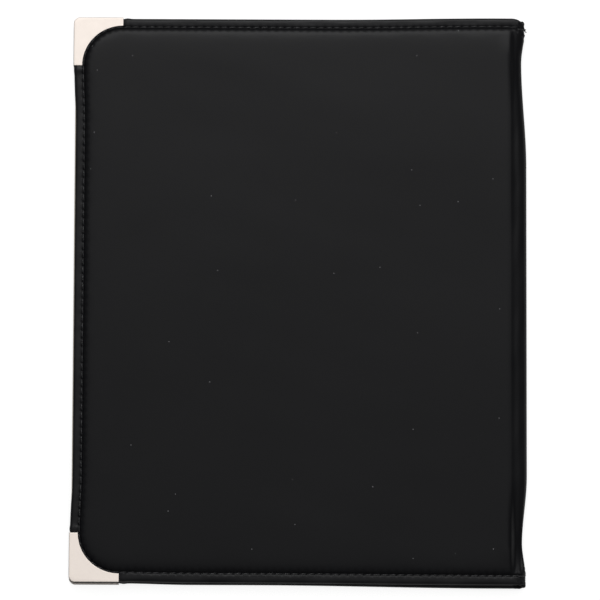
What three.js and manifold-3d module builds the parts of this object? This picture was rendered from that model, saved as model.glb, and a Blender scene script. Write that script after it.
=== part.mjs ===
// A padded music folder, closed and lying flat on a table.
// One black vinyl skin wraps two stiff, padded covers and the soft spine between them.
// Its edges are turned in and sewn, nickel corners guard the fore-edge, and each cover has a pocket inside.
// Millimetres. X runs from the fore-edge to the spine, Y up the page, Z up from the table.
// The origin is under the middle of the folder. The front cover lies below and the back cover on top.

import * as THREE from 'three';
import { mergeVertices } from 'three/addons/utils/BufferGeometryUtils.js';
import Module from 'manifold-3d';

const wasm = await Module();
wasm.setup();

// Stiffening board in each cover
const boardWidth = 245.8;
const boardHeight = 322.2;
const boardThickness = 1.9;

// Soft layers
const skinThickness = 0.6;
const foamThickness = 1.8;
const liningThickness = 0.4;
const pocketThickness = 0.5;
const closedGap = 0.4; // between the inner faces of the closed covers
const layerGap = 0.1; // between layers that bend round the spine
const edgeFit = 0.1; // between a layer's cut edge and the fold round it

// Hem and its seam
const hemWidth = 9; // how far the skin is turned in over the lining
const hemCornerRadius = 2.8;
const liningSetback = 1; // from the board's edge to the lining's
const stitchInset = 5.1; // from the folded edge to the middle of the thread
const threadWidth = 0.8;
const needleThreadHeight = 0.4;
const bobbinThreadHeight = 0.3;
const seamClearance = 0.3; // bare vinyl on each side of the thread

// Padding: how far in from its edge, and what share of the foam's thickness is still missing there
const paddingSlope = [[0, 1], [0.6, 0.62], [1.8, 0.3], [3.8, 0.1], [7, 0]];
const skinOverSlope = 0.4; // extra inset of the skin's inner face on the slope
const foamClearance = 0.15;

// Nickel corners
const cornerLeg = 28;
const cornerMetal = 0.4;
const cornerTip = 2; // cut off the outer point
const cornerSlit = 0.5; // between the two flaps folded over the inside

// Inner pocket
const pocketDepth = 152; // from the hem's lower edge to the mouth
const pocketMargin = 6; // from its spine edge to the board's
const pocketWeld = 4; // flat strip that is welded to the lining
const pocketRamp = 3; // where the sheet comes down to the weld

// Spine: how far the skin stands out past the boards
const reachMiddle = 9.1;
const reachPinch = 6.3;
const reachHem = 8.2;
const pinchFromEnd = 24;
const swellFromEnd = 92;
const flatShareOfReach = 0.34; // of the reach, before the skin starts to turn
const hingeGap = 0.3; // left between pieces that fold against each other

const cornerSteps = 8; // segments in a quarter turn seen from above
const spineSteps = 16; // segments in the half turn of the spine
const far = 40; // longer than anything that a cutter has to pass
const jointOverlap = 1; // how far two joined halves of one sheet run into each other

// Levels of the lower cover, counted up from the table
const borderLevel = foamThickness;
const boardBottom = foamThickness + skinThickness;
const boardTop = boardBottom + boardThickness;
const liningTop = boardTop + liningThickness;
const hemTop = liningTop + skinThickness;
const pocketTop = hemTop + pocketThickness;
const closedThickness = 2 * pocketTop + closedGap;
const middle = closedThickness / 2;

// Places seen from above
const cornerProud = cornerMetal + edgeFit;
const folderWidth = cornerProud + skinThickness + edgeFit + boardWidth + reachMiddle;
const boardEdge = folderWidth / 2 - reachMiddle; // the board's edge beside the spine
const foreEdge = -folderWidth / 2 + cornerProud; // the folded edge away from the spine
const halfHeight = boardHeight / 2 + edgeFit + skinThickness; // to the folded edge
const arcCentre = cornerLeg - cornerProud; // of all the round corners, in from both folded edges
const paddingInset = stitchInset + threadWidth / 2 + seamClearance;
const paddingTurn = paddingSlope[paddingSlope.length - 1][0];

// Where the spine folds against the covers
const turnCentre = boardEdge + flatShareOfReach * reachMiddle;
const hingeReach = (reachMiddle * (1 - flatShareOfReach) + middle) / 2;
const hingeX = turnCentre + hingeReach * Math.SQRT1_2;
const hingeZ = middle - hingeReach * Math.SQRT1_2;

const vinyl = new THREE.MeshStandardMaterial({ color: 0x1b1b1d, roughness: 0.42, metalness: 0 });
const foamGrey = new THREE.MeshStandardMaterial({ color: 0x8a8a8c, roughness: 0.95, metalness: 0 });
const greyBoard = new THREE.MeshStandardMaterial({ color: 0x8c8579, roughness: 0.9, metalness: 0 });
const liningCloth = new THREE.MeshStandardMaterial({ color: 0x151517, roughness: 0.7, metalness: 0 });
const pocketVinyl = new THREE.MeshStandardMaterial({ color: 0x19191b, roughness: 0.5, metalness: 0 });
const nickel = new THREE.MeshStandardMaterial({ color: 0xe6ddd6, roughness: 0.3, metalness: 1 });
const blackThread = new THREE.MeshStandardMaterial({ color: 0x222224, roughness: 0.6, metalness: 0 });

// Turns a closed geometry into a solid that can be joined and cut.
function solidOf(geometry) {
  const bare = geometry.clone();
  bare.deleteAttribute('normal');
  bare.deleteAttribute('uv');
  const merged = mergeVertices(bare, 1e-4);
  const vertProperties = new Float32Array(merged.attributes.position.array);
  const triVerts = new Uint32Array(merged.index.array);
  return new wasm.Manifold(new wasm.Mesh({ numProp: 3, vertProperties, triVerts }));
}

// Turns a solid back into a geometry.
function geometryOf(solid) {
  const mesh = solid.getMesh();
  const geometry = new THREE.BufferGeometry();
  geometry.setAttribute('position', new THREE.BufferAttribute(mesh.vertProperties, mesh.numProp));
  geometry.setIndex(new THREE.BufferAttribute(mesh.triVerts, 1));
  const faceted = geometry.toNonIndexed();
  faceted.computeVertexNormals();
  return faceted;
}

function join(solids) {
  return solids.reduce((whole, solid) => whole.add(solid));
}

function box(x0, x1, y0, y1, z0, z1) {
  const geometry = new THREE.BoxGeometry(x1 - x0, y1 - y0, z1 - z0);
  geometry.translate((x0 + x1) / 2, (y0 + y1) / 2, (z0 + z1) / 2);
  return solidOf(geometry);
}

function prism(shape, z0, z1) {
  const options = { depth: z1 - z0, bevelEnabled: false, curveSegments: cornerSteps };
  const geometry = new THREE.ExtrudeGeometry(shape, options);
  geometry.translate(0, 0, z0);
  return solidOf(geometry);
}

// Skins a row of outlines that have the same number of points. Each outline turns anticlockwise in
// its own plane (u, v), and the row runs along u cross v, so the faces point out.
function loft(outlines, place) {
  const count = outlines[0].length;
  const positions = outlines.flatMap((outline, row) => outline.flatMap(([u, v]) => place(u, v, row)));
  const index = [];
  for (let row = 0; row + 1 < outlines.length; row += 1) {
    for (let i = 0; i < count; i += 1) {
      const a = row * count + i;
      const b = row * count + (i + 1) % count;
      index.push(a, b, b + count, a, b + count, a + count);
    }
  }
  const capOf = (outline) => THREE.ShapeUtils.triangulateShape(outline.map(([u, v]) => new THREE.Vector2(u, v)), []);
  const lastRow = (outlines.length - 1) * count;
  capOf(outlines[0]).forEach(([a, b, c]) => index.push(a, c, b));
  capOf(outlines[outlines.length - 1]).forEach(([a, b, c]) => index.push(lastRow + a, lastRow + b, lastRow + c));
  const geometry = new THREE.BufferGeometry();
  geometry.setAttribute('position', new THREE.Float32BufferAttribute(positions, 3));
  geometry.setIndex(index);
  return solidOf(geometry);
}

// The cover's outline seen from above, set in from the folded edges, with two round fore-edge corners.
// The spine side is straight, at x = right.
function coverPoints(inset, radius, right) {
  const quarter = (cx, cy, from) => Array.from({ length: cornerSteps + 1 }, (_, i) => {
    const angle = from + (i / cornerSteps) * Math.PI / 2;
    return [cx + radius * Math.cos(angle), cy + radius * Math.sin(angle)];
  });
  const cx = foreEdge + inset + radius;
  const cy = halfHeight - inset - radius;
  return [[right, -halfHeight + inset], [right, halfHeight - inset],
    ...quarter(cx, cy, Math.PI / 2), ...quarter(cx, -cy, Math.PI)];
}

function shapeOf(points) {
  return new THREE.Shape(points.map(([x, y]) => new THREE.Vector2(x, y)));
}

function coverPrism(inset, radius, right, z0, z1) {
  return prism(shapeOf(coverPoints(inset, radius, right)), z0, z1);
}

// The padded block: full size at the seam and rounded over towards the table.
// grow is how much smaller it is all round, and bottom the level of its flat face.
function paddedBlock(grow, bottom, top, right) {
  const steps = [...paddingSlope].reverse();
  const outlines = steps.map(([inset]) => {
    const whole = paddingInset + inset + grow;
    return coverPoints(whole, arcCentre - whole, right);
  });
  const levels = steps.map(([, missing]) => bottom + missing * foamThickness);
  if (top > bottom + foamThickness) {
    outlines.push(outlines[outlines.length - 1]);
    levels.push(top);
  }
  return loft(outlines, (x, y, row) => [x, y, levels[row]]);
}

// How far the skin's outer face lies above the table at a place along the spine.
function levelAt(y) {
  const inset = halfHeight - Math.abs(y) - paddingInset;
  if (inset <= 0) return borderLevel;
  const next = paddingSlope.findIndex(([start]) => start > inset);
  if (next < 0) return 0;
  const [x0, missing0] = paddingSlope[next - 1];
  const [x1, missing1] = paddingSlope[next];
  return foamThickness * (missing0 + (missing1 - missing0) * (inset - x0) / (x1 - x0));
}

// How far the skin stands out past the boards: held by the hem, pinched beside it, swollen in the middle.
function reachAt(y) {
  const fromEnd = halfHeight - Math.abs(y);
  const pinch = THREE.MathUtils.smoothstep(fromEnd, paddingInset, pinchFromEnd);
  const swell = THREE.MathUtils.smoothstep(fromEnd, pinchFromEnd, swellFromEnd);
  return reachHem + (reachPinch - reachHem) * pinch + (reachMiddle - reachPinch) * swell;
}

// Places along the spine where its section is drawn, from the upper end to the lower.
const spineStations = (() => {
  const slope = paddingSlope.map(([inset]) => paddingInset + inset);
  const fromEnd = [0, ...slope, 18, pinchFromEnd, 34, 48, 64, 78, swellFromEnd, halfHeight];
  const upper = fromEnd.map((distance) => halfHeight - distance);
  return [...upper, ...upper.slice(0, -1).reverse().map((y) => -y)];
})();

function stationsBetween(low, high) {
  return [high, ...spineStations.filter((y) => y < high - 0.01 && y > low + 0.01), low];
}

// The line of the spine's half turn at a station, offset inwards from the skin's outer face.
function spineLine(y, offset, start) {
  const reach = reachAt(y);
  const flat = flatShareOfReach * reach;
  const across = reach - flat - offset;
  const up = middle - levelAt(y) - offset;
  const turn = Array.from({ length: spineSteps + 1 }, (_, i) => {
    const angle = (i / spineSteps - 0.5) * Math.PI;
    return [boardEdge + flat + across * Math.cos(angle), middle + up * Math.sin(angle)];
  });
  return [[start, middle - up], ...turn, [start, middle + up]];
}

// A layer that bends round the spine, between two offsets from the skin's outer face, starting at an x.
function spineLayer(outerOffset, innerOffset, start, low, high) {
  const stations = stationsBetween(low, high);
  const outlines = stations.map((y) => {
    return [...spineLine(y, outerOffset, start), ...spineLine(y, innerOffset, start).reverse()];
  });
  return loft(outlines, (x, z, row) => [x, stations[row], z]);
}

// A layer that comes down the board's edge from a level to the layer round the spine.
function boardEdgeLayer(left, right, top, offset, low, high) {
  const stations = stationsBetween(low, high);
  const outlines = stations.map((y) => {
    const bottom = levelAt(y) + offset;
    return [[left, bottom], [right, bottom], [right, top], [left, top]];
  });
  return loft(outlines, (x, z, row) => [x, stations[row], z]);
}

// The two fold planes meet in the middle of the spine's turn. What is in front of both belongs to the
// spine, and what is below the lower one to the lower cover.
const foldShift = hingeGap * Math.SQRT1_2;

function alongSpine(points) {
  return loft([points, points], (x, z, row) => [x, row === 0 ? halfHeight + far : -halfHeight - far, z]);
}

const spineSpace = alongSpine([
  [turnCentre + foldShift, middle],
  [turnCentre + foldShift + far, middle - far],
  [turnCentre + foldShift + far, middle + far],
]);

const lowerCoverSpace = alongSpine([
  [foreEdge - far, middle - far],
  [turnCentre - foldShift + far, middle - far],
  [turnCentre - foldShift, middle],
  [foreEdge - far, middle],
]);

function leftOf(x) {
  return box(foreEdge - far, x, -halfHeight - far, halfHeight + far, -far, closedThickness + far);
}

// Offsets of the layers round the spine, and their places down the board's edge
const liningOffset = skinThickness + layerGap;
const hemOffset = liningOffset + liningThickness + layerGap;
const hemInnerOffset = hemOffset + skinThickness;
const liningDrop = boardEdge + edgeFit;
const liningDropInner = liningDrop + liningThickness;
const hemDrop = liningDropInner + layerGap;
const hemDropInner = hemDrop + skinThickness;
const hemEdge = halfHeight - hemWidth; // where the turned-in skin stops
const foldStart = halfHeight - skinThickness; // inner face of the skin's end fold

// Outer skin
// One vinyl sheet. Round the spine it is a wall with a hem at both ends: a strip of it belongs to each
// cover, as its hinge, and the rest to the spine.
function skinRoundSpine() {
  const ends = [1, -1].flatMap((side) => {
    const [low, high] = side > 0 ? [hemEdge, halfHeight] : [-halfHeight, -hemEdge];
    const [foldLow, foldHigh] = side > 0 ? [foldStart, halfHeight] : [-halfHeight, -foldStart];
    return [
      spineLayer(hemOffset, hemInnerOffset, hemDrop, low, high),
      spineLayer(0, hemInnerOffset, boardEdge, foldLow, foldHigh),
    ];
  });
  return join([spineLayer(0, skinThickness, boardEdge - jointOverlap, -halfHeight, halfHeight), ...ends]);
}

// The turned-in hem where it leaves the board's top and goes down its edge to the spine.
function hemAtBoardEdge(side) {
  const [low, high] = side > 0 ? [hemEdge, halfHeight] : [-halfHeight, -hemEdge];
  const [foldLow, foldHigh] = side > 0 ? [foldStart, halfHeight] : [-halfHeight, -foldStart];
  return join([
    box(boardEdge - jointOverlap, hemDropInner, low, high, liningTop, hemTop),
    boardEdgeLayer(hemDrop, hemDropInner, hemTop, hemOffset, low, high),
    boardEdgeLayer(boardEdge - jointOverlap, hemDropInner, hemTop, 0, foldLow, foldHigh),
  ]);
}

function coverSkin() {
  const open = boardEdge + jointOverlap;
  const boardSpace = skinThickness;
  const block = join([
    coverPrism(0, hemCornerRadius, boardEdge, borderLevel, hemTop),
    paddedBlock(0, 0, boardBottom, boardEdge),
  ]);
  const tray = block
    .subtract(coverPrism(boardSpace, hemCornerRadius - boardSpace, open, boardBottom, liningTop))
    .subtract(coverPrism(hemWidth, arcCentre - hemWidth, open, liningTop - 1, hemTop + 1))
    .subtract(paddedBlock(skinOverSlope, skinThickness, boardBottom + 0.1, open));
  const besideSpine = skinRoundSpine().intersect(lowerCoverSpace).intersect(leftOf(hemDropInner));
  return join([tray, besideSpine, hemAtBoardEdge(1), hemAtBoardEdge(-1)]);
}

function hingeSkin() {
  return skinRoundSpine().intersect(lowerCoverSpace).subtract(leftOf(hemDropInner));
}

function spineSkin() {
  return skinRoundSpine().intersect(spineSpace);
}

// Foam pad under the skin
function foamPad() {
  return paddedBlock(skinOverSlope + foamClearance, skinThickness, boardBottom, boardEdge);
}

// Stiffening board
function stiffBoard() {
  const inset = skinThickness + edgeFit;
  return coverPrism(inset, hemCornerRadius - inset, boardEdge, boardBottom, boardTop);
}

// Lining
// It lies on the board, comes down the board's edge and runs on round the inside of the spine.
const liningInset = skinThickness + edgeFit + liningSetback;
const liningEnd = halfHeight - liningInset;

function liningRoundSpine() {
  return spineLayer(liningOffset, liningOffset + liningThickness, liningDrop, -liningEnd, liningEnd);
}

function coverLining() {
  const radius = hemCornerRadius - skinThickness;
  return join([
    coverPrism(liningInset, radius, liningDropInner, boardTop, liningTop),
    boardEdgeLayer(liningDrop, liningDropInner, liningTop, liningOffset, -liningEnd, liningEnd),
  ]);
}

function hingeLining() {
  return liningRoundSpine().intersect(lowerCoverSpace).subtract(leftOf(liningDropInner));
}

function spineLining() {
  return liningRoundSpine().intersect(spineSpace);
}

// Pocket
// A vinyl sheet on the hem, open towards the top of the page and pressed down to the lining beside the spine.
function pocketSheet() {
  const edge = boardEdge - pocketMargin;
  const mouth = -halfHeight + pocketDepth;
  const flat = edge - pocketWeld;
  const bend = flat - pocketRamp;
  const left = foreEdge;
  const weldTop = liningTop + pocketThickness;
  const section = [
    [left, hemTop], [bend, hemTop], [flat, liningTop], [edge, liningTop],
    [edge, weldTop], [flat, weldTop], [bend, pocketTop], [left, pocketTop],
  ];
  const ends = [mouth, -halfHeight];
  const sheet = loft([section, section], (x, z, row) => [x, ends[row], z]);
  const outline = coverPrism(paddingInset, arcCentre - paddingInset, edge + 1, 0, closedThickness);
  const overHem = box(bend, edge + 1, -halfHeight - 1, -hemEdge + edgeFit, 0, closedThickness);
  return sheet.intersect(outline).subtract(overHem);
}

// Nickel corner
// One stamping: a plate on the outside, walls round the edge and two flaps bent over the inside.
function nickelCorner(side) {
  const outerX = foreEdge - cornerProud;
  const outerY = halfHeight + cornerProud;
  const radius = arcCentre - (stitchInset - threadWidth / 2 - seamClearance);
  const plan = new THREE.Shape();
  plan.moveTo(outerX + cornerTip, outerY);
  plan.lineTo(outerX, outerY - cornerTip);
  plan.lineTo(outerX, outerY - cornerLeg);
  plan.lineTo(outerX + cornerLeg - radius, outerY - cornerLeg);
  plan.absarc(outerX + cornerLeg, outerY - cornerLeg, radius, Math.PI, Math.PI / 2, true);
  plan.lineTo(outerX + cornerLeg, outerY);
  const insideFit = coverPrism(-edgeFit, hemCornerRadius, boardEdge, borderLevel, hemTop);
  const slitHalf = cornerSlit * Math.SQRT1_2;
  const slit = new THREE.Shape([
    new THREE.Vector2(outerX + cornerTip, outerY - cornerTip - slitHalf),
    new THREE.Vector2(outerX + cornerLeg, outerY - cornerLeg - slitHalf),
    new THREE.Vector2(outerX + cornerLeg, outerY - cornerLeg + slitHalf),
    new THREE.Vector2(outerX + cornerTip, outerY - cornerTip + slitHalf),
  ]);
  const upper = prism(plan, borderLevel - cornerMetal, hemTop + cornerMetal)
    .subtract(insideFit)
    .subtract(prism(slit, hemTop, hemTop + 1));
  if (side > 0) return geometryOf(upper);
  const turned = geometryOf(upper).applyMatrix4(new THREE.Matrix4().makeScale(1, -1, 1));
  return flipFaces(turned);
}

// Turns each face of a mirrored geometry round again.
function flipFaces(geometry) {
  const position = geometry.attributes.position;
  for (let i = 0; i < position.count; i += 3) {
    const second = new THREE.Vector3().fromBufferAttribute(position, i + 1);
    const third = new THREE.Vector3().fromBufferAttribute(position, i + 2);
    position.setXYZ(i + 1, third.x, third.y, third.z);
    position.setXYZ(i + 2, second.x, second.y, second.z);
  }
  geometry.computeVertexNormals();
  return geometry;
}

// Seam threads
// The needle thread lies outside on the border and the bobbin thread inside on the hem.
const threadOuterInset = stitchInset - threadWidth / 2;
const threadInnerInset = stitchInset + threadWidth / 2;
const threadLow = halfHeight - threadInnerInset;
const threadHigh = halfHeight - threadOuterInset;

function threadLoop(right, z0, z1) {
  const outside = coverPrism(threadOuterInset, arcCentre - threadOuterInset, right, z0, z1);
  return outside.subtract(coverPrism(threadInnerInset, arcCentre - threadInnerInset, right + 1, z0 - 1, z1 + 1));
}

function threadRoundSpine(outerOffset, innerOffset, start, side) {
  const [low, high] = side > 0 ? [threadLow, threadHigh] : [-threadHigh, -threadLow];
  return spineLayer(outerOffset, innerOffset, start, low, high);
}

const needleInner = -layerGap / 2;
const needleOuter = needleInner - needleThreadHeight;
const bobbinOuter = hemInnerOffset + layerGap / 2;
const bobbinInner = bobbinOuter + bobbinThreadHeight;
const bobbinDrop = hemDropInner + layerGap / 2;

function needleThreadRoundSpine(side) {
  return threadRoundSpine(needleOuter, needleInner, boardEdge - jointOverlap, side);
}

function bobbinThreadRoundSpine(side) {
  return threadRoundSpine(bobbinOuter, bobbinInner, bobbinDrop, side);
}

function coverNeedleThread() {
  const ends = [1, -1].map((side) => needleThreadRoundSpine(side).intersect(lowerCoverSpace));
  return join([threadLoop(boardEdge, borderLevel - needleThreadHeight, borderLevel), ...ends]);
}

function coverBobbinThread() {
  const top = hemTop + bobbinThreadHeight;
  const dropRight = bobbinDrop + bobbinThreadHeight;
  const ends = [1, -1].flatMap((side) => {
    const [low, high] = side > 0 ? [threadLow, threadHigh] : [-threadHigh, -threadLow];
    return [
      boardEdgeLayer(bobbinDrop, dropRight, top, bobbinOuter, low, high),
      bobbinThreadRoundSpine(side).intersect(lowerCoverSpace),
    ];
  });
  return join([threadLoop(dropRight, hemTop, top), ...ends]);
}

// Assembly
function part(name, geometry, material) {
  const mesh = new THREE.Mesh(geometry, material);
  mesh.name = name;
  return mesh;
}

// A cover is modelled lying on the table. The same pieces turned over make the one on top.
const coverPieces = [
  ['skin', geometryOf(coverSkin()), vinyl],
  ['hinge_skin', geometryOf(hingeSkin()), vinyl],
  ['foam', geometryOf(foamPad()), foamGrey],
  ['board', geometryOf(stiffBoard()), greyBoard],
  ['lining', geometryOf(coverLining()), liningCloth],
  ['hinge_lining', geometryOf(hingeLining()), liningCloth],
  ['pocket', geometryOf(pocketSheet()), pocketVinyl],
  ['corner_top', nickelCorner(1), nickel],
  ['corner_bottom', nickelCorner(-1), nickel],
  ['needle_thread', geometryOf(coverNeedleThread()), blackThread],
  ['bobbin_thread', geometryOf(coverBobbinThread()), blackThread],
];

function cover(prefix) {
  const group = new THREE.Group();
  coverPieces.forEach(([name, geometry, material]) => group.add(part(`${prefix}_${name}`, geometry, material)));
  return group;
}

const frontCover = cover('front');
const backCover = cover('back');
backCover.scale.z = -1;
backCover.position.z = closedThickness;

const spine = new THREE.Group();
spine.add(part('spine_skin', geometryOf(spineSkin()), vinyl));
spine.add(part('spine_lining', geometryOf(spineLining()), liningCloth));
[['top', 1], ['bottom', -1]].forEach(([end, side]) => {
  const needleThread = needleThreadRoundSpine(side).intersect(spineSpace);
  const bobbinThread = bobbinThreadRoundSpine(side).intersect(spineSpace);
  spine.add(part(`spine_needle_thread_${end}`, geometryOf(needleThread), blackThread));
  spine.add(part(`spine_bobbin_thread_${end}`, geometryOf(bobbinThread), blackThread));
});

const folder = new THREE.Group();
folder.add(frontCover, spine, backCover);
folder.userData.folds = [[hingeX, hingeZ], [hingeX, closedThickness - hingeZ]];

export default folder;
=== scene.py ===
import math
import bmesh
import bpy
import numpy as np
from mathutils import Matrix, Vector
from mathutils.geometry import tessellate_polygon


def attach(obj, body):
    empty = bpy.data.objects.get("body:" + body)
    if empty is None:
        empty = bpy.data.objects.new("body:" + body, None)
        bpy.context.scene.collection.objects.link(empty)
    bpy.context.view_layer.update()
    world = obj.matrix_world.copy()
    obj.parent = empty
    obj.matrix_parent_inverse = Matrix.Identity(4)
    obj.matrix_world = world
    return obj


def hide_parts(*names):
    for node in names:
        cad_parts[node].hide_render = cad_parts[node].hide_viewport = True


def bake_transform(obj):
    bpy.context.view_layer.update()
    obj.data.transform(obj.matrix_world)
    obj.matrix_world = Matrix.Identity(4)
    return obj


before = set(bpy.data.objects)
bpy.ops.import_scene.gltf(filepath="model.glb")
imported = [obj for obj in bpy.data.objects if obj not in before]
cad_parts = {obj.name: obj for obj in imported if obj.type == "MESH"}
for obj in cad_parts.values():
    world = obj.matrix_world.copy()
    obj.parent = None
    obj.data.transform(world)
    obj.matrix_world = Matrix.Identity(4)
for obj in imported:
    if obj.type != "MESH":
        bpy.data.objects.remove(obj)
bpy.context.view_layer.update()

# Camera: a long lens almost straight above the closed folder, leaning twelve degrees towards its
# lower edge.
tilt, roll, distance = math.radians(12), math.radians(0.226), 4.75
aim = Vector((0.000561, 0.000244, 0.005))
back = Vector((0, -math.sin(tilt), math.cos(tilt)))
level_right, level_up = Vector((1, 0, 0)), Vector((0, math.cos(tilt), math.sin(tilt)))
right = math.cos(roll) * level_right + math.sin(roll) * level_up
up = math.cos(roll) * level_up - math.sin(roll) * level_right
lens = bpy.data.cameras.new("camera")
lens.lens, lens.sensor_width, lens.sensor_fit = 506.4, 36, "HORIZONTAL"
lens.clip_start, lens.clip_end = 0.1, 60
camera = bpy.data.objects.new("camera", lens)
bpy.context.collection.objects.link(camera)
turned = Matrix((right, up, back)).transposed().to_4x4()
camera.matrix_world = Matrix.Translation(aim + distance * back) @ turned
bpy.context.scene.camera = camera
bpy.context.scene.view_settings.view_transform = "Standard"


# Shader sockets that can be added and multiplied like numbers, and a finish that makes the nodes of
# a new material, or of the world's tree if that is given.
class Socket:
    def __init__(self, finish, output):
        self.finish, self.output = finish, output

    def math(self, operation, *values):
        return self.finish.node("ShaderNodeMath", {"operation": operation}, dict(enumerate(values)))

    def __add__(self, other):
        return self.math("ADD", self, other)

    def __sub__(self, other):
        return self.math("SUBTRACT", self, other)

    def __rsub__(self, other):
        return self.math("SUBTRACT", other, self)

    def __mul__(self, other):
        return self.math("MULTIPLY", self, other)

    def __gt__(self, other):
        return self.math("GREATER_THAN", self, other)

    def __lt__(self, other):
        return self.math("LESS_THAN", self, other)

    __radd__, __rmul__ = __add__, __mul__


class Finish:
    def __init__(self, name, tree=None):
        if tree is None:
            self.material = bpy.data.materials.new(name)
            self.material.use_nodes = True
            tree = self.material.node_tree
        self.tree = tree
        self.tree.nodes.clear()

    def node(self, kind, settings=None, sockets=None, output=0):
        made = self.tree.nodes.new(kind)
        for name, value in (settings or {}).items():
            if name == "stops":
                ramp = made.color_ramp.elements
                while len(ramp) < len(value):
                    ramp.new(0.5)
                for stop, (place, colour) in zip(ramp, value):
                    stop.position, stop.color = place, colour
            else:
                setattr(made, name, value)
        for name, value in (sockets or {}).items():
            if isinstance(value, Socket):
                self.tree.links.new(value.output, made.inputs[name])
            else:
                made.inputs[name].default_value = value
        return Socket(self, made.outputs[output])

    def mix(self, factor, a, b):
        return self.node("ShaderNodeMix", {"data_type": "RGBA"}, {0: factor, 6: a, 7: b}, 2)

    def noise(self, place, scale, detail=2, roughness=0.5):
        values = {"Vector": place, "Scale": scale, "Detail": detail, "Roughness": roughness}
        return self.node("ShaderNodeTexNoise", None, values)

    def end(self, shader):
        out = self.tree.nodes.new("ShaderNodeOutputMaterial")
        self.tree.links.new(shader.output, out.inputs["Surface"])
        return self.material


# Table and surroundings: a white floor that keeps the folder's soft shadow, and a background that
# the camera sees as white. Glossy rays meet a pale ceiling in a dim room, diffuse rays an even fill
# that is strongest overhead. One softbox stands above and beyond the folder's upper edge.
def white_for_view(finish, seen, mirrored):
    path = [finish.node("ShaderNodeLightPath", output=name)
            for name in ("Is Camera Ray", "Is Glossy Ray", "Is Transmission Ray")]
    return path[0] * seen + (path[1] + path[2]) * mirrored


floor_mesh = bpy.data.meshes.new("floor")
floor_mesh.from_pydata([(-9, -9, 0), (9, -9, 0), (9, 9, 0), (-9, 9, 0)], [], [(0, 1, 2, 3)])
floor = bpy.data.objects.new("floor", floor_mesh)
bpy.context.collection.objects.link(floor)
white = Finish("white_floor")
paint = white.node("ShaderNodeBsdfDiffuse", None, {"Color": (0.36, 0.36, 0.36, 1)})
glow = white.node("ShaderNodeEmission", None, {"Strength": white_for_view(white, 0.76, 0.14)})
floor_mesh.materials.append(white.end(white.node("ShaderNodeAddShader", None, {0: paint, 1: glow})))

world = bpy.data.worlds.new("surroundings")
bpy.context.scene.world = world
world.use_nodes = True
sky = Finish("surroundings", world.node_tree)
seen = sky.node("ShaderNodeLightPath", output="Is Camera Ray")
spread = sky.node("ShaderNodeLightPath", output="Is Diffuse Ray")
towards = sky.node("ShaderNodeTexCoord", output="Generated")
high, aside, above = [
    sky.node("ShaderNodeVectorMath", {"operation": "DOT_PRODUCT"}, {0: towards, 1: axis}, "Value")
    for axis in ((0, 0.5, 0.87), (1, 0, 0), (0, 0, 1))]
narrow = aside.math("MAXIMUM", 1 - aside * aside * 3, 0)
ceiling = high.math("MAXIMUM", high * 2.5 - 1.5, 0) * narrow * 0.45 + 0.12
fill = above.math("MAXIMUM", above, 0) * 0.95 + 0.2
dim = (1 - seen) * (spread * fill + (1 - spread) * ceiling)
shade = sky.node("ShaderNodeBackground", None, {"Color": (1, 1, 1, 1), "Strength": seen + dim})
sky_out = sky.tree.nodes.new("ShaderNodeOutputWorld")
sky.tree.links.new(shade.output, sky_out.inputs["Surface"])


def softbox(name, place, towards, width, height, radiance):
    light = bpy.data.lights.new(name, "AREA")
    light.shape, light.size, light.size_y = "RECTANGLE", width, height
    light.energy = radiance * math.pi * width * height
    lamp = bpy.data.objects.new(name, light)
    bpy.context.collection.objects.link(lamp)
    line = Vector(place) - Vector(towards)
    lamp.matrix_world = Matrix.Translation(place) @ line.to_track_quat("Z", "Y").to_matrix().to_4x4()


softbox("far_softbox", (0.0, 0.98, 1.35), (0, 0, 0), 1.1, 0.5, 5.2)

# Vinyl: thin black leathercloth with a fine pebbled grain and a satin shine. Handling has left it
# slightly uneven, and a few specks of dust lie on it.
vinyl = Finish("black_vinyl")
place = vinyl.node("ShaderNodeTexCoord", output="Object")
pebbles = vinyl.node("ShaderNodeTexVoronoi", {"feature": "SMOOTH_F1"},
                     {"Vector": place, "Scale": 1300, "Smoothness": 0.6})
wrinkles = vinyl.noise(place, 420, 3)
cloudy = vinyl.noise(place, 14, 3, 0.6)
broad = vinyl.noise(place, 60, 2)
grain = pebbles * 0.6 + wrinkles * 0.4 + broad * 1.2
bump = vinyl.node("ShaderNodeBump", None, {"Strength": 0.22, "Distance": 0.00012, "Height": grain})
# A point attribute of the skin mixes in a lighter grey. It is partly wear on the fold's edge and partly painted
# highlight and painted reflection.
rubbed = vinyl.node("ShaderNodeAttribute", {"attribute_name": "rubbed"}, output="Fac")
flat_cells, dust_scale = {"voronoi_dimensions": "2D"}, 44
dust_cell = vinyl.node("ShaderNodeTexVoronoi", flat_cells, {"Vector": place, "Scale": dust_scale})
dust_pick = vinyl.node("ShaderNodeTexVoronoi", flat_cells, {"Vector": place, "Scale": dust_scale}, "Color")
dust_chance = vinyl.node("ShaderNodeSeparateColor", None, {0: dust_pick})
dust = (dust_cell < 0.0085) * (dust_chance > 0.78)
tone = vinyl.mix(cloudy, (0.0024, 0.0025, 0.0034, 1), (0.0036, 0.0037, 0.0048, 1))
worn_and_highlit = vinyl.mix(rubbed * 0.5, tone, (0.017, 0.017, 0.018, 1))
dusted = vinyl.mix(dust * 0.7, worn_and_highlit, (0.35, 0.35, 0.36, 1))
black_vinyl = vinyl.end(vinyl.node("ShaderNodeBsdfPrincipled", None, {
    "Base Color": dusted, "Roughness": cloudy * 0.10 + rubbed * -0.05 + 0.35,
    "Specular IOR Level": 0.20, "Normal": bump}))

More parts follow.
